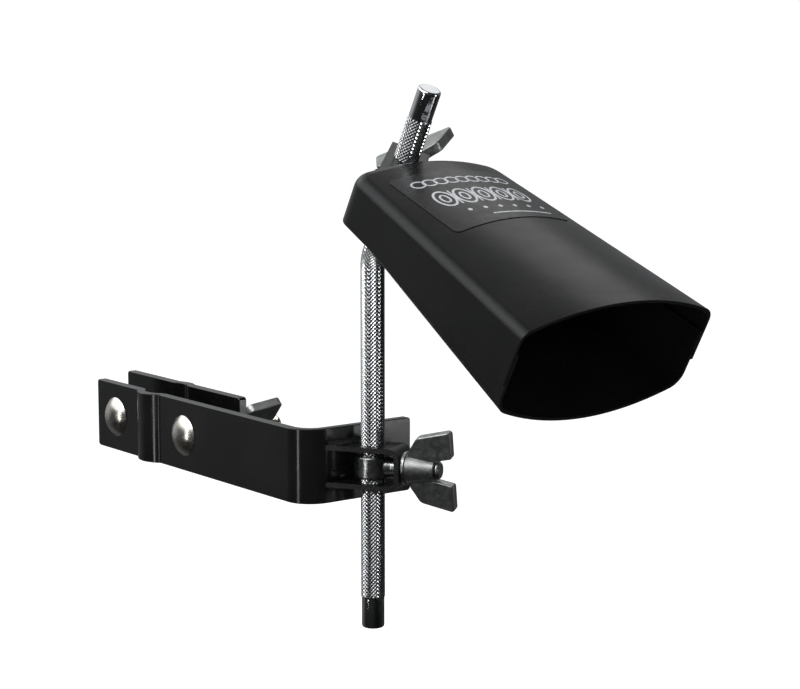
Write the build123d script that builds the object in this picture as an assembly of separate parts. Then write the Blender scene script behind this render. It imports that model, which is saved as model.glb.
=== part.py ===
from build123d import *
import math
import os

os.makedirs("parts", exist_ok=True)

# Cowbell on a bent knurled rod, held by a strap arm that clamps to a 3/4 in stand tube.
# Frame: origin on the tube axis at the middle of the clamped span, +Z up along the tube,
# +X along the strap arm from the tube to the rod, +Y towards the clamp's nuts.

# ---------------------------------------------------------------- driving dimensions (mm)
TUBE_R = 9.525            # 3/4 in stand tube
STRAP_W = 31.75           # 1-1/4 in strap
STRAP_T = 4.0
STRAP_Z = -1.0            # strap mid height
FRONT_Y = -9.6            # outside face of the arm
TAB_X = -47.0             # free end of the tab
PLATE_X = 124.25          # outside face of the end plate
PLATE_END_Y = 46.15       # free end of the end plate
BEND_R = 12.0             # outside radius of the 90 degree bend
LIP_R = 4.0               # radius of the lips of the tube seat, on the strap centreline

JAW_HALF = 49.0           # half length of the rear jaw
JAW_BACK_Y = 12.0         # back face of the jaw flats
JAW_Z = 1.0               # jaw mid height, 2 mm above the strap
JAW_LIP_R = 3.0

BOLT_X = 30.0             # bolts at +-30 from the tube
BOLT_D = 7.94             # 5/16 in
BOLT_L = 50.8             # under the head
PITCH = 1.411             # 18 threads per inch
HEAD_D = 18.4
HEAD_H = 4.2
NECK = 7.9                # square neck
NECK_L = 3.8
NUT_BORE = 8.0
HOLE_D = 8.1

WASHER_OD = 17.0
SMALL_WASHER_OD = 14.0
WASHER_T = 1.6
LOCK_OD = 13.6
LOCK_T = 2.0
FACE_GAP = 0.03           # running gap under each nut

ROD_D = 9.525             # 3/8 in
KNURL_D = 10.1
ROD_X = 135.2
ROD_Y = 17.9
ROD_END_Z = -69.0 + STRAP_Z
ROD_BEND_Z = 86.96 + STRAP_Z
ROD_TIP = 78.5            # from the bend vertex to the upper end
ROD_BEND_R = 16.0
ROD_PLAIN = 13.0          # smooth length at both ends
LEAN = 27.4               # lean of the upper leg from vertical
HEADING = 2.45            # heading of the bell from +X

U_W = 16.0                # clamp bracket strip
U_T = 2.1
U_H = 17.8
U_OUT = 14.2              # rod axis to outside face of the closed end
U_R = 4.1
EYE_OD = 15.0
EYE_H = 9.0
EYE_BORE = 10.25
EYE_REACH = 30.0          # rod axis to thread end
ROD_HOLE = 10.3
SADDLE_TURN = 32.5        # clamp axis from +X
BELL_TURN = 47.5          # bell clamp axis from straight back
WELD_R = 2.0

BELL_EYE = 38.2           # along the upper leg from the bend vertex
BELL_BACK = 10.6          # rod axis to the closed end wall
BELL_L = 121.4
SHEET = 1.2
END_W, MOUTH_W = 74.0, 97.8
END_TOP, MOUTH_TOP = 10.35, 16.8       # heights of the top corners
END_CROWN, MOUTH_CROWN = 5.5, 9.0
END_WALL, MOUTH_WALL = 19.5, 21.8      # side wall height of the upper shell
END_BOT, MOUTH_BOT = -9.8, -15.8      # heights of the bottom corners
LAP = 13.0                             # overlap of the two shells
LAP_GAP = 0.05
CORNER_R = 6.0            # along the strike face and round the closed end
LOW_CORNER_R = 7.5        # along the bottom
PLAN_R = 9.0              # upright corners of the closed end

NUT_R = 17.9              # wing reach
NUT_H = 19.8
HUB_H = 11.8


# ---------------------------------------------------------------- helpers
def strip_face(start, heading, steps, thick):
    """Flat outline of a bent strip: steps are ('L', length) or ('A', radius, signed angle)."""
    px, py = start
    h = math.radians(heading)
    left, right = [], []
    t2 = thick / 2

    def off(x, y, ang, s):
        return (x - math.sin(ang) * s, y + math.cos(ang) * s)

    for st in steps:
        if st[0] == "L":
            qx, qy = px + math.cos(h) * st[1], py + math.sin(h) * st[1]
            left.append(Line(off(px, py, h, t2), off(qx, qy, h, t2)))
            right.append(Line(off(px, py, h, -t2), off(qx, qy, h, -t2)))
        else:
            r, ang = st[1], math.radians(st[2])
            s = 1 if ang > 0 else -1
            cx, cy = px - math.sin(h) * r * s, py + math.cos(h) * r * s
            h1, hm = h + ang, h + ang / 2
            pts = []
            for hh in (h, hm, h1):
                pts.append((cx + math.sin(hh) * r * s, cy - math.cos(hh) * r * s))
            left.append(ThreePointArc(*[off(p[0], p[1], a, t2) for p, a in zip(pts, (h, hm, h1))]))
            right.append(ThreePointArc(*[off(p[0], p[1], a, -t2) for p, a in zip(pts, (h, hm, h1))]))
            qx, qy = pts[2]
            h = h1
        px, py = qx, qy
    cap0 = Line(right[0] @ 0, left[0] @ 0)
    cap1 = Line(left[-1] @ 1, right[-1] @ 1)
    return make_face(Curve() + [cap0, cap1] + left + right)


def rod_cylinder(r, h, at=(0, 0, 0)):
    return Pos(*at) * Cylinder(r, h, align=(Align.CENTER, Align.CENTER, Align.MIN))


def threaded_shank(z0, z1, zt):
    """Shank along +Z from z0 to z1, threaded from zt to its end with a small chamfer."""
    r, depth = BOLT_D / 2, 0.62
    pts = [(0, z0), (r, z0), (r, zt)]
    z = zt
    while z + PITCH < z1 - 0.9:
        pts += [(r - depth, z + PITCH * 0.45), (r, z + PITCH * 0.9), (r, z + PITCH)]
        z += PITCH
    pts += [(r, z1 - 0.9), (r - 0.9, z1), (0, z1)]
    prof = make_face(Polyline(*[(p[0], 0, p[1]) for p in pts], close=True))
    return revolve(prof, Axis.Z, 360)


def wing_nut():
    """Wing nut along +Z with its base at z=0, wings along +-X."""
    hub = Cone(6.35, 4.75, HUB_H, align=(Align.CENTER, Align.CENTER, Align.MIN))
    pts = [(4.0, 0.5), (8.2, 1.0), (14.4, 4.9), (NUT_R, NUT_H), (6.0, NUT_H), (4.2, HUB_H - 0.6), (2.0, 4.0)]
    prof = make_face(Polyline(*[(p[0], 0, p[1]) for p in pts], close=True))
    wing = extrude(prof, amount=2.2, both=True)

    def corner(w, x, z, r):
        return fillet([e for e in w.edges().filter_by(Axis.Y)
                       if abs(e.center().X - x) < 0.3 and abs(e.center().Z - z) < 0.3], r)

    wing = corner(wing, NUT_R, NUT_H, 1.5)
    wing = corner(wing, 14.4, 4.9, 3.5)
    wing = corner(wing, 6.0, NUT_H, 1.2)
    side = [e for f in wing.faces().filter_by(Axis.Y) for e in f.edges()
            if e.center().X > 6.5]
    try:
        wing = fillet(side, 0.6)
    except Exception:
        pass
    nut = hub + wing + Rot(0, 0, 180) * wing
    nut = nut - rod_cylinder(NUT_BORE / 2, HUB_H + 20, (0, 0, -1))
    cone = Cone(NUT_BORE / 2 + 0.8, NUT_BORE / 2, 0.8, align=(Align.CENTER, Align.CENTER, Align.MIN))
    return nut - cone


def washer(od, t, bore):
    w = Cylinder(od / 2, t, align=(Align.CENTER, Align.CENTER, Align.MIN))
    w = chamfer(w.edges().filter_by(GeomType.CIRCLE), 0.25)
    return w - rod_cylinder(bore / 2, t + 2, (0, 0, -1))


def lock_washer():
    """Split spring washer."""
    w = washer(LOCK_OD, LOCK_T, HOLE_D)
    return w - Pos(LOCK_OD / 2 - 1, 0, LOCK_T / 2) * Rot(28, 0, 0) * Box(6, 0.7, LOCK_T * 3)


def hex_nut():
    """Lock nut along +Z with its base at z=0."""
    n = extrude(RegularPolygon(7.33, 6), 6.7)
    cham = Cone(11.2, 6.4, 7.8, align=(Align.CENTER, Align.CENTER, Align.MIN))
    n = n & cham
    n = n + rod_cylinder(5.9, 2.6, (0, 0, 6.4))
    n = n - rod_cylinder(NUT_BORE / 2, 12, (0, 0, -1))
    return n


def carriage_bolt():
    """Bolt along +Z, head underside at z=0, head on the -Z side."""
    rs = (HEAD_D ** 2 / 4 + HEAD_H ** 2) / (2 * HEAD_H)
    dome = Pos(0, 0, rs - HEAD_H) * Sphere(rs)
    dome = dome & Pos(0, 0, -HEAD_H / 2 - 0.0) * Cylinder(HEAD_D / 2 - 0.05, HEAD_H)
    neck = Pos(0, 0, NECK_L / 2) * Box(NECK, NECK, NECK_L)
    neck = chamfer(neck.edges().filter_by(Axis.Z), 0.5)
    return dome + neck + threaded_shank(0, BOLT_L, 14.0)


def eye_bolt():
    """Eye about Z at the origin, shank along +X."""
    ring = Cylinder(EYE_OD / 2, EYE_H)
    ring = fillet(ring.edges().filter_by(GeomType.CIRCLE), 0.7)
    shank = Rot(0, 90, 0) * threaded_shank(0, EYE_REACH, 12.0)
    collar = Rot(0, 90, 0) * Pos(0, 0, 6.0) * Cone(4.4, BOLT_D / 2, 3.0,
                                                  align=(Align.CENTER, Align.CENTER, Align.MIN))
    body = ring + shank + collar
    return body - Cylinder(EYE_BORE / 2, EYE_H + 4)


def clamp_bracket(back):
    """U strip about the eye: closed end at +X, legs running back to x = -back."""
    leg = U_OUT - U_R
    run = back + leg
    steps = [("L", run), ("A", U_R - U_T / 2, 90), ("L", U_H - 2 * U_R),
             ("A", U_R - U_T / 2, 90), ("L", run)]
    face = strip_face((-back, -U_H / 2 + U_T / 2), 0, steps, U_T)
    u = extrude(Plane.XZ * face, amount=U_W / 2, both=True)
    u = u - Cylinder(ROD_HOLE / 2, U_H + 4)
    return u - Rot(0, 90, 0) * rod_cylinder(8.3 / 2, 12, (0, 0, 8))


def weld_bead(length):
    """Rounded bead along Y at the inner corner of two faces (-X face and the face below)."""
    b = Cylinder(WELD_R, length, rotation=(90, 0, 0))
    b = b & Pos(-0.0, 0, 0) * Box(2 * WELD_R, length, 2 * WELD_R,
                                 align=(Align.MIN, Align.CENTER, Align.MIN))
    e = b.edges().filter_by(GeomType.CIRCLE)
    return b


def save(shape, name):
    shape.label = name
    export_step(shape, "parts/" + name + ".step")


# ---------------------------------------------------------------- strap arm
yc = abs(FRONT_Y) - STRAP_T / 2                    # centreline distance of the arm from the tube axis
rc = TUBE_R + STRAP_T / 2
xf = math.sqrt((LIP_R + rc) ** 2 - (yc + LIP_R) ** 2)
seat = math.degrees(math.acos((yc + LIP_R) / (rc + LIP_R)))
arm_steps = [("L", -xf - TAB_X), ("A", LIP_R, -seat), ("A", rc, 2 * seat), ("A", LIP_R, -seat),
             ("L", PLATE_X - BEND_R - xf), ("A", BEND_R - STRAP_T / 2, 90),
             ("L", PLATE_END_Y - (FRONT_Y + BEND_R))]
arm_face = strip_face((TAB_X, -yc), 0, arm_steps, STRAP_T)
arm = Pos(0, 0, STRAP_Z - STRAP_W / 2) * extrude(arm_face, STRAP_W)
ends = [e for e in arm.edges() if e.geom_type == GeomType.LINE and abs(e.length - STRAP_T) < 0.01]
arm = fillet(ends, 1.5)
rim = [e for f in arm.faces().filter_by(Axis.Z) for e in f.edges()]
try:
    arm = chamfer(rim, 0.35)
except Exception:
    pass
sq = 8.0
for s in (-1, 1):
    arm = arm - Pos(s * BOLT_X, -yc, STRAP_Z) * Box(sq, STRAP_T + 2, sq)
save(arm, "arm_strap")

# ---------------------------------------------------------------- rear jaw
yj = JAW_BACK_Y - STRAP_T / 2
xj = math.sqrt((JAW_LIP_R + rc) ** 2 - (yj + JAW_LIP_R) ** 2)
seat_j = math.degrees(math.acos((yj + JAW_LIP_R) / (rc + JAW_LIP_R)))
jaw_steps = [("L", JAW_HALF - xj), ("A", JAW_LIP_R, seat_j), ("A", rc, -2 * seat_j),
             ("A", JAW_LIP_R, seat_j), ("L", JAW_HALF - xj)]
jaw_face = strip_face((-JAW_HALF, yj), 0, jaw_steps, STRAP_T)
jaw = Pos(0, 0, JAW_Z - STRAP_W / 2) * extrude(jaw_face, STRAP_W)
ends = [e for e in jaw.edges() if e.geom_type == GeomType.LINE and abs(e.length - STRAP_T) < 0.01]
jaw = fillet(ends, 1.5)
rim = [e for f in jaw.faces().filter_by(Axis.Z) for e in f.edges()]
try:
    jaw = chamfer(rim, 0.35)
except Exception:
    pass
for s in (-1, 1):
    jaw = jaw - Pos(s * BOLT_X, yj, STRAP_Z) * Rot(90, 0, 0) * Cylinder(HOLE_D / 2, STRAP_T + 2)
save(jaw, "rear_jaw")

# ---------------------------------------------------------------- clamp hardware, axis +Y
TO_Y = Rot(-90, 0, 0)
for s, side in ((-1, "left"), (1, "right")):
    save(Pos(s * BOLT_X, FRONT_Y, STRAP_Z) * TO_Y * carriage_bolt(), "clamp_bolt_" + side)
    save(Pos(s * BOLT_X, JAW_BACK_Y, STRAP_Z) * TO_Y * washer(WASHER_OD, WASHER_T, HOLE_D),
         "clamp_washer_" + side)
NUT_Y = JAW_BACK_Y + WASHER_T
save(Pos(BOLT_X, NUT_Y, STRAP_Z) * TO_Y * lock_washer(), "clamp_lock_washer")
save(Pos(BOLT_X, NUT_Y + LOCK_T + FACE_GAP, STRAP_Z) * TO_Y * Rot(0, 0, -48) * wing_nut(), "clamp_wing_nut")
save(Pos(-BOLT_X, NUT_Y + FACE_GAP, STRAP_Z) * TO_Y * hex_nut(), "clamp_lock_nut")

# ---------------------------------------------------------------- saddle on the end plate
SADDLE = Pos(ROD_X, ROD_Y, STRAP_Z) * Rot(0, 0, SADDLE_TURN)
reach = ROD_X - PLATE_X
saddle = SADDLE * clamp_bracket(40)
saddle = saddle & Pos(PLATE_X, ROD_Y, STRAP_Z) * Box(80, 120, 60, align=(Align.MIN, Align.CENTER, Align.CENTER))
save(saddle, "saddle_bracket")

t = math.radians(SADDLE_TURN)
y_mid = ROD_Y - reach * math.tan(t)
run = U_W / math.cos(t) - 1.0
top = Pos(PLATE_X, y_mid, STRAP_Z + U_H / 2) * weld_bead(run)
save(top, "saddle_weld_upper")
bot = Pos(PLATE_X, y_mid, STRAP_Z - U_H / 2) * mirror(weld_bead(run), Plane.XY)
save(bot, "saddle_weld_lower")

save(SADDLE * eye_bolt(), "rod_eye_bolt")
save(SADDLE * Pos(U_OUT, 0, 0) * Rot(0, 90, 0) * washer(SMALL_WASHER_OD, WASHER_T, HOLE_D), "rod_washer")
save(SADDLE * Pos(U_OUT + WASHER_T + FACE_GAP, 0, 0) * Rot(0, 90, 0) * Rot(0, 0, 11.7) * wing_nut(), "rod_wing_nut")

# ---------------------------------------------------------------- knurled rod
vertex = Vector(ROD_X, ROD_Y, ROD_BEND_Z)
le, hd = math.radians(LEAN), math.radians(HEADING)
H = Vector(math.cos(hd), math.sin(hd), 0)
N = H * math.sin(le) + Vector(0, 0, 1) * math.cos(le)      # up along the upper leg
A = H * math.cos(le) - Vector(0, 0, 1) * math.sin(le)      # along the bell
tl = ROD_BEND_R * math.tan(le / 2)
p0 = Vector(ROD_X, ROD_Y, ROD_END_Z)
p1 = vertex - Vector(0, 0, 1) * tl
p2 = vertex + N * tl
p3 = vertex + N * ROD_TIP
cen = p1 + H * ROD_BEND_R
mid = cen - H * ROD_BEND_R * math.cos(le / 2) + Vector(0, 0, 1) * ROD_BEND_R * math.sin(le / 2)
low = Pos(ROD_X, ROD_Y, ROD_END_Z)
plain_low = low * Cylinder(ROD_D / 2, ROD_PLAIN + 0.5, align=(Align.CENTER, Align.CENTER, Align.MIN))
plain_low = chamfer(plain_low.edges().filter_by(GeomType.CIRCLE).sort_by(Axis.Z)[0], 0.8)
path = Curve() + [Line(p0 + Vector(0, 0, ROD_PLAIN), p1), ThreePointArc(p1, mid, p2),
                  Line(p2, p3 - N * ROD_PLAIN)]
sec = Pos(ROD_X, ROD_Y, ROD_END_Z + ROD_PLAIN) * Circle(KNURL_D / 2)
knurl = sweep(sec, path=path)
UP = Plane(origin=p3 - N * ROD_PLAIN, x_dir=A, z_dir=N)
tipc = Cylinder(ROD_D / 2, ROD_PLAIN + 0.5, align=(Align.CENTER, Align.CENTER, Align.MIN))
tipc = Pos(0, 0, -0.5) * chamfer(tipc.edges().filter_by(GeomType.CIRCLE).sort_by(Axis.Z)[-1], 0.8)
rod = plain_low + knurl + UP.location * tipc
save(rod, "knurled_rod")

# ---------------------------------------------------------------- bell, local X along the bell, Z = strike face up
BELL = Plane(origin=vertex + N * BELL_EYE + A * BELL_BACK, x_dir=A, z_dir=N).location


def section(x, w, zt, crown, zb, wb=None, bulge=None):
    """Closed section at x: crowned top between the top corners, straight sides, flat or crowned bottom."""
    wb = w if wb is None else wb
    p = Plane(origin=(x, 0, 0), x_dir=(0, 1, 0), z_dir=(1, 0, 0))
    topc = ThreePointArc((w / 2, zt), (0, zt + crown), (-w / 2, zt))
    s1 = Line((-w / 2, zt), (-wb / 2, zb))
    s2 = Line((wb / 2, zb), (w / 2, zt))
    if bulge:
        b = ThreePointArc((-wb / 2, zb), (0, zb - bulge), (wb / 2, zb))
    else:
        b = Line((-wb / 2, zb), (wb / 2, zb))
    return p * make_face(Curve() + [topc, s1, b, s2])


def at(f, a, b):
    return a + (b - a) * f


def upper_solid(off, ext):
    """Filled upper shell, offset inwards by off; ext lengthens the mouth and bottom for cutting."""
    f1 = 1 + ext / BELL_L
    w0, w1 = END_W - 2 * off, at(f1, END_W, MOUTH_W) - 2 * off
    z0, z1 = END_TOP - off, at(f1, END_TOP, MOUTH_TOP) - off
    b0, b1 = END_TOP - END_WALL, at(f1, END_TOP - END_WALL, MOUTH_TOP - MOUTH_WALL)
    s = loft([section(off, at(off / BELL_L, w0, w1), at(off / BELL_L, z0, z1), END_CROWN, b0 - ext),
              section(BELL_L + ext, w1, z1, at(f1, END_CROWN, MOUTH_CROWN), b1 - ext)], ruled=True)
    s = fillet([e for e in s.edges() if abs(e.center().X - off) < 0.3 and abs(e.tangent_at(0.5).Z) > 0.9], PLAN_R - off)
    top = s.faces().sort_by(Axis.Z)[-1]
    return fillet([e for e in top.edges() if e.center().X < BELL_L - 5], CORNER_R - off)


def lower_solid(off, ext):
    """Filled lower shell nested inside the upper one."""
    g = SHEET + LAP_GAP + off
    f1 = 1 + ext / BELL_L
    x0 = SHEET + LAP_GAP + off
    w0, w1 = END_W - 2 * g, at(f1, END_W, MOUTH_W) - 2 * g
    zt0, zt1 = END_TOP - END_WALL + LAP + ext, at(f1, END_TOP - END_WALL, MOUTH_TOP - MOUTH_WALL) + LAP + ext
    zb0, zb1 = END_BOT + off, at(f1, END_BOT, MOUTH_BOT) + off
    p0 = Plane(origin=(x0, 0, 0), x_dir=(0, 1, 0), z_dir=(1, 0, 0))
    p1 = Plane(origin=(BELL_L + ext, 0, 0), x_dir=(0, 1, 0), z_dir=(1, 0, 0))

    def sec(p, w, zt, zb, crown):
        b = ThreePointArc((-w / 2, zb), (0, zb - crown), (w / 2, zb))
        return p * make_face(Curve() + [Line((-w / 2, zt), (-w / 2, zb)), b, Line((w / 2, zb), (w / 2, zt)),
                                        Line((w / 2, zt), (-w / 2, zt))])

    s = loft([sec(p0, at(x0 / BELL_L, w0, w1), zt0, at(x0 / BELL_L, zb0, zb1), END_CROWN),
              sec(p1, w1, zt1, zb1, at(f1, END_CROWN, MOUTH_CROWN + 1.0))], ruled=True)
    s = fillet([e for e in s.edges() if abs(e.center().X - x0) < 0.3 and abs(e.tangent_at(0.5).Z) > 0.9], PLAN_R - g)
    bottom = s.faces().sort_by(Axis.Z)[0]
    return fillet([e for e in bottom.edges() if e.center().X < BELL_L - 5], LOW_CORNER_R - off)


upper_out = upper_solid(0, 0)
upper = upper_out - upper_solid(SHEET, 2.0)
save(BELL * upper, "bell_upper_shell")
lower = lower_solid(0, 0) - lower_solid(SHEET, 2.0)
save(BELL * lower, "bell_lower_shell")

# thin sticker on the strike face near the closed end
LABEL_T = 0.2
raised = Pos(0, 0, LABEL_T) * upper_out
outline = make_face(Curve() + [Line((13.5, -29.6), (13.5, 31.0)), Line((13.5, 31.0), (53.8, 32.6)),
                               ThreePointArc((53.8, 32.6), (54.4, 2), (57.4, -29.6)),
                               Line((57.4, -29.6), (13.5, -29.6))])
outline = fillet(outline.vertices(), 2.5)
label = (extrude(outline, 40) & raised) - upper_out
save(BELL * label, "bell_label")

# clamp bracket welded to the closed end
EYE = Plane(origin=vertex + N * BELL_EYE, x_dir=A, z_dir=N).location
TURN = Rot(0, 0, 180 - BELL_TURN)
bb = TURN * clamp_bracket(60)
bb = bb & Pos(BELL_BACK, 0, 0) * Box(120, 120, 60, align=(Align.MAX, Align.CENTER, Align.CENTER))
save(EYE * bb, "bell_bracket")
tb = math.radians(BELL_TURN)
yb = -BELL_BACK * math.tan(tb)
runb = U_W / math.cos(tb) - 1.0
wb_ = Rot(0, 0, 180) * weld_bead(runb)
save(EYE * Pos(BELL_BACK, yb, U_H / 2) * wb_, "bell_weld_upper")
save(EYE * Pos(BELL_BACK, yb, -U_H / 2) * mirror(wb_, Plane.XY), "bell_weld_lower")
save(EYE * TURN * eye_bolt(), "bell_eye_bolt")
save(EYE * TURN * Pos(U_OUT, 0, 0) * Rot(0, 90, 0) * washer(SMALL_WASHER_OD, WASHER_T, HOLE_D), "bell_washer")
save(EYE * TURN * Pos(U_OUT + WASHER_T + FACE_GAP, 0, 0) * Rot(0, 90, 0) * Rot(0, 0, 46) * wing_nut(), "bell_wing_nut")
print("N", N, "A", A, "vertex", vertex, "eye", vertex + N * BELL_EYE)
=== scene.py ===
import bpy, bmesh, math
from mathutils import Matrix, Vector
from mathutils.bvhtree import BVHTree


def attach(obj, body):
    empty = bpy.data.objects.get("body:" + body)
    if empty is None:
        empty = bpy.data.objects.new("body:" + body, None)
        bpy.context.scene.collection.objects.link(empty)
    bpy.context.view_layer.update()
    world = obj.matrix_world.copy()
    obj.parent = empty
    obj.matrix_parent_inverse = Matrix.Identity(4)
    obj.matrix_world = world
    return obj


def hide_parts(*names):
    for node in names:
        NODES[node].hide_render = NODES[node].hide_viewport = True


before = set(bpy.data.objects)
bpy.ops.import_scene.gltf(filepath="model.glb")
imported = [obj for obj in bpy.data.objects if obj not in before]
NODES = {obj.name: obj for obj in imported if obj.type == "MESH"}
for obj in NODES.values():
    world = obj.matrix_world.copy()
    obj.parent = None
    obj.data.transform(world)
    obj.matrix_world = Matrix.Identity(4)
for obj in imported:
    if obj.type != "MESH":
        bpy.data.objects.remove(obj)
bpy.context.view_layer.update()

scene = bpy.context.scene
MM = 0.001


# ---------------------------------------------------------------- materials
class Mat:
    """A small builder for a node material on one Principled shader."""

    def __init__(self, name, color=(0.5, 0.5, 0.5), metallic=0.0, roughness=0.4, **sockets):
        self.m = bpy.data.materials.new(name)
        self.m.use_nodes = True
        self.t = self.m.node_tree
        self.t.nodes.clear()
        self.out = self.node("ShaderNodeOutputMaterial")
        self.p = self.node("ShaderNodeBsdfPrincipled")
        self.t.links.new(self.p.outputs["BSDF"], self.out.inputs["Surface"])
        self.p.inputs["Base Color"].default_value = (*color, 1)
        self.p.inputs["Metallic"].default_value = metallic
        self.p.inputs["Roughness"].default_value = roughness
        for k, v in sockets.items():
            self.p.inputs[k.replace("_", " ")].default_value = v
        self.coord = self.node("ShaderNodeTexCoord").outputs["Object"]
        self.height = None

    def node(self, kind, **props):
        n = self.t.nodes.new(kind)
        for k, v in props.items():
            setattr(n, k, v)
        return n

    def link(self, a, b):
        self.t.links.new(a, b)

    def mapped(self, scale=(1, 1, 1), rot=(0, 0, 0)):
        n = self.node("ShaderNodeMapping")
        n.inputs["Scale"].default_value = scale
        n.inputs["Rotation"].default_value = rot
        self.link(self.coord, n.inputs["Vector"])
        return n.outputs["Vector"]

    def noise(self, scale, detail=2.0, rough=0.5, distortion=0.0, vec=None):
        n = self.node("ShaderNodeTexNoise")
        n.inputs["Scale"].default_value = scale
        n.inputs["Detail"].default_value = detail
        n.inputs["Roughness"].default_value = rough
        n.inputs["Distortion"].default_value = distortion
        self.link(vec if vec is not None else self.coord, n.inputs["Vector"])
        return n.outputs["Fac"]

    def voronoi(self, scale, feature="F1", vec=None):
        n = self.node("ShaderNodeTexVoronoi", feature=feature)
        n.inputs["Scale"].default_value = scale
        self.link(vec if vec is not None else self.coord, n.inputs["Vector"])
        return n.outputs["Distance"]

    def ramp(self, fac, stops):
        n = self.node("ShaderNodeValToRGB")
        cr = n.color_ramp
        while len(cr.elements) < len(stops):
            cr.elements.new(0.5)
        for e, (pos, col) in zip(cr.elements, stops):
            e.position = pos
            e.color = (*col, 1) if len(col) == 3 else (col[0], col[0], col[0], 1)
        self.link(fac, n.inputs["Fac"])
        return n.outputs["Color"]

    def range(self, fac, lo, hi, a=0.3, b=0.7):
        n = self.node("ShaderNodeMapRange")
        n.inputs["From Min"].default_value = a
        n.inputs["From Max"].default_value = b
        n.inputs["To Min"].default_value = lo
        n.inputs["To Max"].default_value = hi
        self.link(fac, n.inputs["Value"])
        return n.outputs["Result"]

    def math(self, op, a, b):
        n = self.node("ShaderNodeMath", operation=op)
        for s, v in zip(n.inputs, (a, b)):
            if isinstance(v, (int, float)):
                s.default_value = v
            else:
                self.link(v, s)
        return n.outputs[0]

    def mix(self, fac, a, b):
        n = self.node("ShaderNodeMix", data_type="RGBA")
        for s, v in ((n.inputs[0], fac), (n.inputs[6], a), (n.inputs[7], b)):
            if isinstance(v, (int, float)):
                s.default_value = v
            elif isinstance(v, tuple):
                s.default_value = (*v, 1)
            else:
                self.link(v, s)
        return n.outputs[2]

    def bump(self, height, strength, distance):
        n = self.node("ShaderNodeBump")
        n.inputs["Strength"].default_value = strength
        n.inputs["Distance"].default_value = distance
        self.link(height, n.inputs["Height"])
        if self.height is not None:
            self.link(self.height, n.inputs["Normal"])
        self.height = n.outputs["Normal"]
        self.link(self.height, self.p.inputs["Normal"])

    def set(self, socket, value):
        self.link(value, self.p.inputs[socket])

    def pointiness(self):
        return self.node("ShaderNodeNewGeometry").outputs["Pointiness"]


def paint_bell():
    a = Mat("bell_powder_coat", roughness=0.3, Specular_IOR_Level=0.30)
    cloud = a.noise(28, 4, 0.55)
    speck = a.noise(2600, 2, 0.6)
    base = a.ramp(cloud, [(0.3, (0.0032, 0.0033, 0.0036)), (0.7, (0.0062, 0.0062, 0.0062))])
    dust = a.ramp(speck, [(0.70, (0.0,)), (0.80, (1.0,))])
    a.set("Base Color", a.mix(a.math("MULTIPLY", dust, 0.30), base, (0.035, 0.035, 0.035)))
    smear = a.noise(60, 5, 0.6, 0.4, a.mapped((1, 0.35, 1)))
    a.set("Roughness", a.range(smear, 0.20, 0.30))
    a.bump(a.noise(900, 3, 0.55), 0.10, 0.0001)
    a.bump(a.noise(150, 2, 0.5), 0.10, 0.0004)
    return a.m


def paint_inside():
    a = Mat("bell_inside_coat", roughness=0.62)
    cloud = a.noise(40, 4, 0.6)
    a.set("Base Color", a.ramp(cloud, [(0.3, (0.006, 0.006, 0.0065)), (0.7, (0.011, 0.011, 0.011))]))
    a.set("Roughness", a.range(a.noise(90, 3, 0.6), 0.55, 0.72))
    a.bump(a.noise(700, 3, 0.6), 0.25, 0.0002)
    return a.m


def paint_strap(name="strap_gloss_coat", lo=0.11, hi=0.20):
    a = Mat(name, roughness=0.16, Specular_IOR_Level=0.38)
    cloud = a.noise(35, 4, 0.55)
    base = a.ramp(cloud, [(0.3, (0.0035, 0.0036, 0.0038)), (0.7, (0.0070, 0.0070, 0.0073))])
    fleck = a.ramp(a.noise(1700, 3, 0.65), [(0.72, (0.0,)), (0.79, (1.0,))])
    a.set("Base Color", a.mix(a.math("MULTIPLY", fleck, 0.4), base, (0.04, 0.04, 0.04)))
    scuff = a.noise(75, 6, 0.65, 0.6, a.mapped((1, 1, 0.4)))
    a.set("Roughness", a.range(scuff, lo, hi, 0.35, 0.7))
    a.bump(a.noise(420, 2, 0.5), 0.05, 0.0002)
    a.bump(a.noise(60, 2, 0.5), 0.10, 0.0010)
    return a.m


def sticker():
    a = Mat("label_vinyl", roughness=0.3)
    cloud = a.noise(55, 3, 0.5)
    a.set("Base Color", a.ramp(cloud, [(0.3, (0.0085, 0.0085, 0.0090)), (0.7, (0.0135, 0.0135, 0.0135))]))
    a.set("Roughness", a.range(a.noise(320, 3, 0.6), 0.24, 0.36))
    a.bump(a.noise(260, 3, 0.5), 0.10, 0.0002)
    return a.m


def ink():
    a = Mat("label_ink", roughness=0.42)
    wear = a.noise(900, 4, 0.65)
    a.set("Base Color", a.ramp(wear, [(0.32, (0.40, 0.41, 0.43)), (0.6, (0.66, 0.67, 0.70))]))
    a.set("Roughness", a.range(a.noise(500, 2, 0.5), 0.36, 0.5))
    a.bump(a.noise(1800, 2, 0.5), 0.15, 0.00005)
    return a.m


def chrome(name="chrome_plate", lo=0.05, hi=0.14, tint=(0.80, 0.815, 0.83)):
    a = Mat(name, color=tint, metallic=1.0, roughness=0.08)
    haze = a.noise(120, 4, 0.6)
    dim = tuple(c * 0.86 for c in tint)
    a.set("Base Color", a.ramp(haze, [(0.32, dim), (0.68, tint)]))
    a.set("Roughness", a.range(haze, lo, hi))
    a.bump(a.noise(400, 2, 0.5), 0.04, 0.0001)
    return a.m


def knurl_chrome():
    a = Mat("knurl_chrome", metallic=1.0, roughness=0.16)
    grime = a.noise(900, 3, 0.6)
    a.set("Base Color", a.ramp(grime, [(0.30, (0.50, 0.51, 0.52)), (0.62, (0.86, 0.87, 0.88))]))
    a.set("Roughness", a.range(a.noise(300, 3, 0.6), 0.09, 0.18))
    a.bump(a.noise(2600, 2, 0.6), 0.08, 0.00005)
    return a.m


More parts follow.
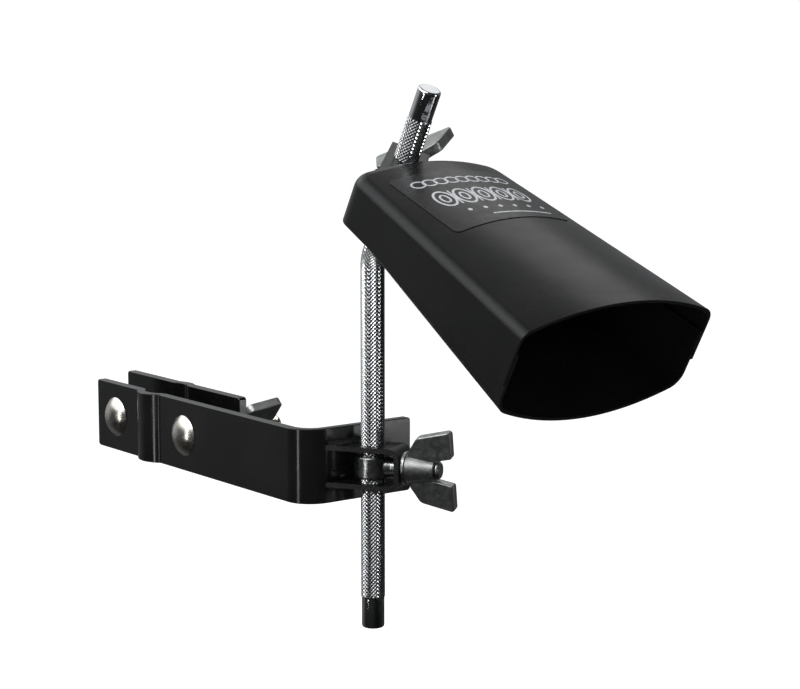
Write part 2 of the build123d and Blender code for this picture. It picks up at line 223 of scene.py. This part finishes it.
def zinc(name="cast_zinc", dark=(0.27, 0.285, 0.28), light=(0.50, 0.515, 0.50), lo=0.30, hi=0.50, grain=0.35):
    a = Mat(name, metallic=1.0, roughness=0.34)
    patch = a.noise(230, 5, 0.62)
    a.set("Base Color", a.ramp(patch, [(0.30, dark), (0.50, tuple((x + y) / 2 for x, y in zip(dark, light))), (0.70, light)]))
    a.set("Roughness", a.range(a.noise(600, 4, 0.6), lo, hi))
    a.bump(a.noise(1100, 4, 0.6), grain, 0.00014)
    a.bump(a.noise(240, 2, 0.5), 0.22, 0.0005)
    return a.m


def nickel():
    a = Mat("nickel_plate", metallic=1.0, roughness=0.22)
    patch = a.noise(180, 4, 0.6)
    a.set("Base Color", a.ramp(patch, [(0.30, (0.62, 0.58, 0.52)), (0.68, (0.84, 0.80, 0.74))]))
    a.set("Roughness", a.range(a.noise(420, 4, 0.6), 0.18, 0.32))
    a.bump(a.noise(900, 3, 0.6), 0.14, 0.0001)
    a.bump(a.noise(150, 2, 0.5), 0.12, 0.0004)
    return a.m


M_BELL, M_IN, M_STRAP, M_LABEL, M_INK = paint_bell(), paint_inside(), paint_strap(), sticker(), ink()
M_CHROME, M_KNURL, M_ZINC, M_NICKEL = chrome(), knurl_chrome(), zinc(), nickel()
M_BRIGHT = zinc("turned_zinc", (0.30, 0.31, 0.31), (0.52, 0.53, 0.52), 0.2, 0.34, 0.2)
M_BRACKET = paint_strap("bracket_coat", 0.2, 0.34)


def dress(node, mat):
    o = NODES[node]
    for s in o.material_slots:
        s.material = mat


for n in ("bell_upper_shell", "bell_lower_shell"):
    dress(n, M_BELL)
for n in ("arm_strap", "rear_jaw"):
    dress(n, M_STRAP)
for n in ("saddle_bracket", "bell_bracket", "saddle_weld_upper", "saddle_weld_lower", "bell_weld_upper", "bell_weld_lower"):
    dress(n, M_BRACKET)
dress("bell_label", M_LABEL)
proud = NODES["bell_label"].modifiers.new("proud", "DISPLACE")    # keeps the thin label clear of the shell's facets
proud.mid_level = 0.0
proud.strength = 0.00006
for n in ("clamp_bolt_left", "clamp_bolt_right"):
    dress(n, M_NICKEL)
for n in ("rod_eye_bolt", "bell_eye_bolt", "clamp_washer_left", "clamp_washer_right", "clamp_lock_washer",
          "clamp_lock_nut", "rod_washer", "bell_washer"):
    dress(n, M_BRIGHT)
for n in ("clamp_wing_nut", "rod_wing_nut", "bell_wing_nut"):
    dress(n, M_ZINC)


# ---------------------------------------------------------------- helpers for new pieces
def new_piece(name, verts, faces, mats, body, smooth=False, mat_index=None):
    me = bpy.data.meshes.new(name)
    me.from_pydata([tuple(v) for v in verts], [], faces)
    me.validate()
    o = bpy.data.objects.new(name, me)
    scene.collection.objects.link(o)
    for m in mats:
        me.materials.append(m)
    if mat_index is not None:
        me.polygons.foreach_set("material_index", mat_index)
    bm = bmesh.new()
    bm.from_mesh(me)
    bmesh.ops.recalc_face_normals(bm, faces=bm.faces)
    bm.to_mesh(me)
    bm.free()
    if smooth:
        me.polygons.foreach_set("use_smooth", [True] * len(me.polygons))
    me.update()
    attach(o, body)
    return o


# ---------------------------------------------------------------- knurled rod
le, hd = math.radians(27.4), math.radians(2.45)
H = Vector((math.cos(hd), math.sin(hd), 0))
Z = Vector((0, 0, 1))
N = (H * math.sin(le) + Z * math.cos(le)).normalized()     # up along the rod's upper leg
A = (H * math.cos(le) - Z * math.sin(le)).normalized()     # along the bell, closed end to mouth
L = N.cross(A).normalized()
VERTEX = Vector((135.2, 17.9, 85.96)) * MM
BEND = 16.0 * MM
TL = BEND * math.tan(le / 2)
FOOT = Vector((135.2, 17.9, -70.0)) * MM
P1 = VERTEX - Z * TL
CEN = P1 + H * BEND
S1 = (P1 - FOOT).length
S2 = S1 + BEND * le
S3 = S2 + 78.5 * MM - TL


def rod_frame(s):
    """Point, tangent and side directions of the rod's centreline at length s."""
    side = H.cross(Z)
    if s <= S1:
        return FOOT + Z * s, H, side
    if s >= S2:
        out = N.cross(side) * -1
        return VERTEX + N * (TL + s - S2), A, side
    t = (s - S1) / BEND
    n = -H * math.cos(t) + Z * math.sin(t)
    return CEN + n * BEND, -n, side


def rod_mesh():
    verts, faces, idx = [], [], []

    def ring_point(s, ang, r):
        p, e1, e2 = rod_frame(s)
        return p + (e1 * math.cos(ang) + e2 * math.sin(ang)) * r

    starts = 21
    r_peak, r_valley = 5.06 * MM, 4.77 * MM
    s_lo, s_hi = 12.8 * MM, S3 - 12.8 * MM
    axial = 1.62 * MM
    rows = int(round((s_hi - s_lo) / (axial / 2)))
    half = (s_hi - s_lo) / rows
    grid = {}

    def vert(key, s, ang, r):
        if key not in grid:
            grid[key] = len(verts)
            verts.append(ring_point(s, ang, r))
        return grid[key]

    step = math.pi / starts
    total = 2 * starts

    def crossing(i, j):
        return vert(("c", i, j % total), s_lo + i * half, (j % total) * step, r_valley)

    flat = 0.20
    for i in range(0, rows + 1):
        for j in range(total):
            if (i + j) % 2:
                continue
            # diamond cell centred on (i, j + 1): its corners are crossings one half pitch away
            ci, cj = i, j + 1
            if ci <= 0 or ci >= rows:
                continue
            c = [crossing(ci, cj - 1), crossing(ci + 1, cj), crossing(ci, cj + 1), crossing(ci - 1, cj)]
            sc, ac = s_lo + ci * half, cj * step
            q = [vert(("p", ci, cj % total, k), sc + ds * half * flat, ac + da * step * flat, r_peak)
                 for k, (ds, da) in enumerate(((0, -1), (1, 0), (0, 1), (-1, 0)))]
            for k in range(4):
                faces.append((c[k], c[(k + 1) % 4], q[(k + 1) % 4], q[k]))
                idx.append(1)
            faces.append(tuple(q))
            idx.append(1)
    # half cells along both ends of the knurl, run out into the plain tips
    for i, s_tip in ((0, s_lo - 0.45 * MM), (rows, s_hi + 0.45 * MM)):
        d = 1 if i == 0 else -1
        for j in range(total):
            if (i + j) % 2 == 0:
                a, b = crossing(i, j), crossing(i, j + 2)
                apex = crossing(i + d, j + 1)
                faces.append((a, b, apex))
                idx.append(1)
                t0 = vert(("t", i, j % total), s_tip, j * step, 4.7625 * MM)
                t1 = vert(("t", i, (j + 2) % total), s_tip, (j + 2) * step, 4.7625 * MM)
                faces.append((a, b, t1, t0))
                idx.append(1)
    # plain turned tips with rounded ends
    n = 64
    for end, (s0, s1) in enumerate(((s_lo - 0.30 * MM, 0.0), (s_hi + 0.30 * MM, S3))):
        d = 1 if s1 > s0 else -1
        prof = [(s0, 4.75), (s0 + d * 0.5 * MM, 4.7625), (s0 + d * 4 * MM, 4.7625), (s1 - d * 1.25 * MM, 4.7625)]
        for k in range(1, 7):
            t = k / 6 * math.pi / 2
            prof.append((s1 - d * 1.1 * MM * (1 - math.sin(t)), 3.6625 + 1.1 * math.cos(t)))
        prof += [(s1, 2.2), (s1, 0.8)]
        rings = []
        for s, r in prof:
            rings.append([len(verts) + k for k in range(n)])
            for k in range(n):
                verts.append(ring_point(s, 2 * math.pi * k / n, r * MM))
        for a, b in zip(rings, rings[1:]):
            for k in range(n):
                faces.append((a[k], a[(k + 1) % n], b[(k + 1) % n], b[k]))
                idx.append(0)
        faces.append(tuple(rings[-1]))
        idx.append(0)
    return verts, faces, idx


v_, f_, i_ = rod_mesh()
rod = new_piece("knurled_rod_detail", v_, f_, [M_CHROME, M_KNURL], "rod", mat_index=i_)
smooth = [p.material_index == 0 and len(p.vertices) == 4 for p in rod.data.polygons]
rod.data.polygons.foreach_set("use_smooth", smooth)
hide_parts("knurled_rod")


# ---------------------------------------------------------------- label print: a plain ornament
EYE = VERTEX + N * (38.2 * MM)
BELL_O = EYE + A * (14.6 * MM)
lab = NODES["bell_label"]
tree = BVHTree.FromPolygons([v.co.copy() for v in lab.data.vertices], [tuple(p.vertices) for p in lab.data.polygons])


def on_label(x, y, lift=0.012):
    """Point on the label's face at bell coordinates x, y in mm."""
    o = BELL_O + A * (x * MM) + L * (y * MM) + N * (60 * MM)
    hit = tree.ray_cast(o, -N)
    if hit[0] is None:
        return None
    return hit[0] + N * (lift * MM)


def build_print():
    verts, faces = [], []

    def quad_strip(pts_a, pts_b):
        """Closed thin plate between two polylines, lying on the label."""
        base = len(verts)
        n = len(pts_a)
        for lift in (0.10, 0.03):
            for x, y in pts_a:
                p = on_label(x, y, lift)
                if p is None:
                    del verts[base:]
                    return
                verts.append(p)
            for x, y in pts_b:
                p = on_label(x, y, lift)
                if p is None:
                    del verts[base:]
                    return
                verts.append(p)
        T, B = base, base + 2 * n
        for k in range(n - 1):
            faces.append((T + k, T + k + 1, T + n + k + 1, T + n + k))
            faces.append((B + k, B + n + k, B + n + k + 1, B + k + 1))
            faces.append((T + k, B + k, B + k + 1, T + k + 1))
            faces.append((T + n + k, T + n + k + 1, B + n + k + 1, B + n + k))
        faces.append((T, T + n, B + n, B))
        faces.append((T + n - 1, B + n - 1, B + 2 * n - 1, T + 2 * n - 1))

    def line(p, q, w, n=8):
        dx, dy = q[0] - p[0], q[1] - p[1]
        d = math.hypot(dx, dy)
        nx, ny = -dy / d * w / 2, dx / d * w / 2
        a = [(p[0] + dx * k / n + nx, p[1] + dy * k / n + ny) for k in range(n + 1)]
        b = [(p[0] + dx * k / n - nx, p[1] + dy * k / n - ny) for k in range(n + 1)]
        quad_strip(a, b)

    def ring(cx, cy, rx, ry, w, n=28):
        for h in range(2):
            t = [math.pi * (h + k / n) for k in range(n + 1)]
            a = [(cx + rx * math.cos(u), cy + ry * math.sin(u)) for u in t]
            b = [(cx + (rx - w) * math.cos(u), cy + (ry - w) * math.sin(u)) for u in t]
            quad_strip(a, b)

    # a chain of overlapping hoops between two fine rules, with a row of studs under it
    for k in range(9):
        cy = -20.5 + k * 5.4
        ring(17.2, cy, 2.6, 3.4, 0.75)
    for k in range(5):
        cy = -17.5 + k * 9.6
        ring(30.2, cy, 6.0, 4.6, 1.0)
        ring(30.2, cy, 3.1, 2.2, 0.9)
    for k in range(4):
        cy = -12.7 + k * 9.6
        line((24.9, cy), (35.5, cy), 0.8)
    for k in range(6):
        ring(40.6, -13.5 + k * 7.6, 0.95, 0.95, 0.94, 10)
    line((45.6, -6.0), (45.6, 25.0), 0.7, 24)
    return verts, faces


v_, f_ = build_print()
prt = new_piece("label_print", v_, f_, [M_INK], "bell")


# ---------------------------------------------------------------- stage and light
def disk(name, r, z, n=96):
    me = bpy.data.meshes.new(name)
    me.from_pydata([(0.1 + r * math.cos(2 * math.pi * k / n), r * math.sin(2 * math.pi * k / n), z) for k in range(n)], [],
                   [tuple(range(n))])
    o = bpy.data.objects.new(name, me)
    scene.collection.objects.link(o)
    return o


floor = disk("floor", 7.0, -0.32)
mf = Mat("floor_paper", color=(0.86, 0.86, 0.86), roughness=0.9)
mf.set("Base Color", mf.ramp(mf.noise(4, 2, 0.5), [(0.3, (0.86, 0.86, 0.86)), (0.7, (0.89, 0.89, 0.89))]))
mf.p.inputs["Emission Color"].default_value = (1, 1, 1, 1)
mf.p.inputs["Emission Strength"].default_value = 0.55
floor.data.materials.append(mf.m)
floor.visible_glossy = False

world = bpy.data.worlds.new("studio")
scene.world = world
world.use_nodes = True
wt = world.node_tree
wt.nodes.clear()
wo = wt.nodes.new("ShaderNodeOutputWorld")
lp = wt.nodes.new("ShaderNodeLightPath")


def background(color, strength):
    b = wt.nodes.new("ShaderNodeBackground")
    b.inputs["Color"].default_value = (*color, 1)
    b.inputs["Strength"].default_value = strength
    return b


seen = background((1, 1, 1), 1.05)
ambient = background((0.98, 0.99, 1.0), 0.55)
gloss = background((0.96, 0.98, 1.0), 0.10)


def facing(vec, a, b, lo, hi):
    """Brightness running from lo to hi as the surroundings turn towards a fixed direction."""
    d = wt.nodes.new("ShaderNodeVectorMath")
    d.operation = "DOT_PRODUCT"
    wt.links.new(where, d.inputs[0])
    d.inputs[1].default_value = vec
    r = wt.nodes.new("ShaderNodeMapRange")
    r.interpolation_type = "SMOOTHSTEP"
    for k, v in (("From Min", a), ("From Max", b), ("To Min", lo), ("To Max", hi)):
        r.inputs[k].default_value = v
    wt.links.new(d.outputs["Value"], r.inputs["Value"])
    return r.outputs["Result"]


def times(a, b):
    n = wt.nodes.new("ShaderNodeMath")
    n.operation = "MULTIPLY"
    wt.links.new(a, n.inputs[0])
    wt.links.new(b, n.inputs[1])
    return n.outputs[0]


where = wt.nodes.new("ShaderNodeTexCoord").outputs["Generated"]
sweep = times(facing((-0.795, 0.607, 0.0), -0.15, 0.55, 0.065, 0.42), facing((-0.607, -0.795, 0.0), -0.6, 0.25, 0.30, 1.0))
low = times(sweep, facing((0.0, 0.0, 1.0), -0.35, 0.12, 0.22, 1.0))
high = times(facing((-0.607, -0.795, 0.0), 0.1, 0.7, 0.0, 1.6), facing((0.0, 0.0, 1.0), 0.26, 0.52, 0.0, 1.0))
both = wt.nodes.new("ShaderNodeMath")
wt.links.new(low, both.inputs[0])
wt.links.new(high, both.inputs[1])
wt.links.new(both.outputs[0], gloss.inputs["Strength"])
m1 = wt.nodes.new("ShaderNodeMixShader")
m2 = wt.nodes.new("ShaderNodeMixShader")
wt.links.new(lp.outputs["Is Glossy Ray"], m1.inputs[0])
wt.links.new(ambient.outputs[0], m1.inputs[1])
wt.links.new(gloss.outputs[0], m1.inputs[2])
wt.links.new(lp.outputs["Is Camera Ray"], m2.inputs[0])
wt.links.new(m1.outputs[0], m2.inputs[1])
wt.links.new(seen.outputs[0], m2.inputs[2])
wt.links.new(m2.outputs[0], wo.inputs["Surface"])

CAM_DIR = Vector((math.sin(math.radians(52.62)), -math.cos(math.radians(52.62)), 0))   # from the object to the camera
CAM_RIGHT = Vector((math.cos(math.radians(52.62)), math.sin(math.radians(52.62)), 0))
CENTRE = Vector((0.12, 0.02, 0.03))


def softbox(name, left, elev, dist, size, power, target=None, color=(1, 1, 1)):
    """Area light at an angle to the left of the camera and above the horizon, as seen from the object."""
    t = target or CENTRE
    a, e = math.radians(left), math.radians(elev)
    d = (CAM_DIR * math.cos(a) - CAM_RIGHT * math.sin(a)) * math.cos(e) + Z * math.sin(e)
    li = bpy.data.lights.new(name, "AREA")
    li.shape = "RECTANGLE"
    li.size, li.size_y = size
    li.energy = power
    li.color = color
    o = bpy.data.objects.new(name, li)
    scene.collection.objects.link(o)
    o.location = t + d * dist
    o.rotation_euler = (t - o.location).to_track_quat("-Z", "Y").to_euler()
    o.visible_camera = False
    return o


softbox("key_left", 50, 44, 1.7, (1.0, 0.8), 9)
softbox("strip_left", 50, 2, 1.7, (0.16, 1.1), 3.4)
softbox("key_high", 10, 66, 1.8, (1.0, 0.7), 6)
softbox("top_back", -168, 40, 2.0, (1.1, 0.7), 1.9, Vector((0.22, 0.02, 0.09)))
softbox("fill_right", -72, -4, 1.6, (0.34, 0.36), 3.4)

# ---------------------------------------------------------------- camera
cd = bpy.data.cameras.new("camera")
cd.lens = 95.499
cd.sensor_width = 36
cam = bpy.data.objects.new("camera", cd)
scene.collection.objects.link(cam)
cam.location = (0.83147, -0.49988, 0.17669)
cam.rotation_euler = (math.radians(90 - 8.3078), 0, math.radians(52.6179))
scene.camera = cam
scene.view_settings.view_transform = "Standard"
